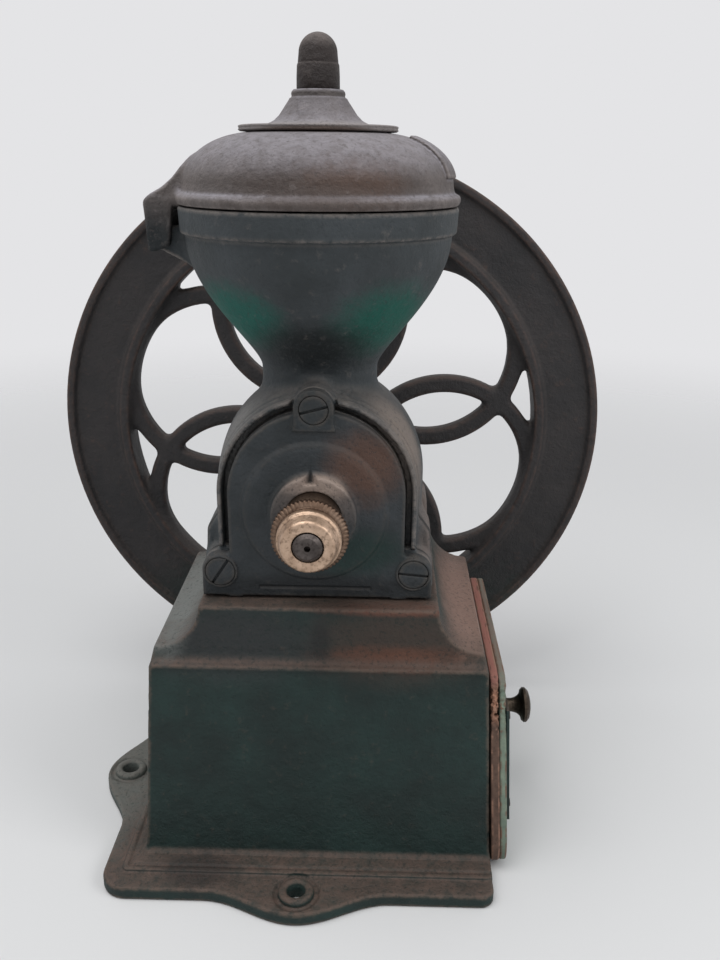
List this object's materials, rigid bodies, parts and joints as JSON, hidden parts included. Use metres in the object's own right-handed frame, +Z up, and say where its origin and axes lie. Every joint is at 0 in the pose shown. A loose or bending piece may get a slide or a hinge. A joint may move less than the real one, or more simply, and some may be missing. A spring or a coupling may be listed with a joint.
{
  "type": "coffee grinder",
  "caption": "Hand-turned cast iron coffee grinder with a pierced flywheel, a hinged hopper lid, an adjustable burr and a wooden drawer.",
  "frame": {"origin": "on the underside of the foot flange, directly below the hopper's vertical axis", "axes": "+Z up, +Y along the shaft from the adjusting nut at the front to the flywheel at the back, +X towards the drawer"},
  "size_m": [0.3, 0.3056, 0.3616],
  "materials": {
    "base_iron": "old dark green-black paint, dusty",
    "housing_iron": "worn dark paint",
    "lid_iron": "dusty grey-brown",
    "wheel_iron": "old dark paint",
    "steel": "aged",
    "brass": "worn",
    "wood": "stained",
    "painted_wood": "faded green paint"
  },
  "bodies": {
    "stand": {"base_casting": "base_iron", "hopper_housing": "housing_iron", "housing_bolts": "steel", "front_plate": "base_iron", "plate_screws": "steel", "burr_ring": "steel", "ring_key": "steel", "rear_bush": "brass", "shaft_spring": "steel", "hinge_pin": "steel"},
    "carriage": {"thrust_sleeve": "brass"},
    "nut": {"adjusting_nut": "brass"},
    "rotor": {"main_shaft": "steel", "turning_burr": "steel", "burr_pin": "steel", "feed_screw": "steel", "flywheel": "wheel_iron", "wheel_key": "steel", "wheel_washer": "steel", "wheel_nut": "steel", "handle_spindle": "steel", "spindle_nut": "steel", "grip_washer": "steel"},
    "grip": {"handle_grip": "wood"},
    "cover": {"lid": "lid_iron", "lid_pedestal": "lid_iron", "lid_knob": "wheel_iron", "knob_stud": "steel", "knob_nut": "steel"},
    "drawer": {"drawer_front": "wood", "drawer_facing": "painted_wood", "drawer_sides": "wood", "drawer_back": "wood", "drawer_floor": "wood", "drawer_plate": "base_iron", "plate_pins": "steel", "drawer_pull": "brass", "pull_screw": "steel", "drawer_nails": "steel"}
  },
  "joints": [
    {"name": "adjust_slide", "type": "slide", "parent": "stand", "child": "carriage", "axis": [0, 1, 0], "range_m": [-0.00075, 0.00075]},
    {"name": "adjust_turn", "type": "hinge", "parent": "carriage", "child": "nut", "pos_m": [0, -0.06, 0.1685], "axis": [0, 1, 0], "range_deg": [-180, 180]},
    {"name": "wheel_spin", "type": "hinge", "parent": "carriage", "child": "rotor", "pos_m": [0, 0.093, 0.1685], "axis": [0, 1, 0], "continuous": true},
    {"name": "grip_spin", "type": "hinge", "parent": "rotor", "child": "grip", "pos_m": [0, 0.15, 0.0361], "axis": [0, 1, 0], "continuous": true},
    {"name": "lid_hinge", "type": "hinge", "parent": "stand", "child": "cover", "pos_m": [-0.0685, 0, 0.281], "axis": [0, -1, 0], "range_deg": [0, 110]},
    {"name": "drawer_slide", "type": "slide", "parent": "stand", "child": "drawer", "axis": [1, 0, 0], "range_m": [0, 0.11]}
  ],
  "couplings": [
    {"joint": "adjust_turn", "follows": "adjust_slide", "rad_per_m": 4188.8}
  ]
}
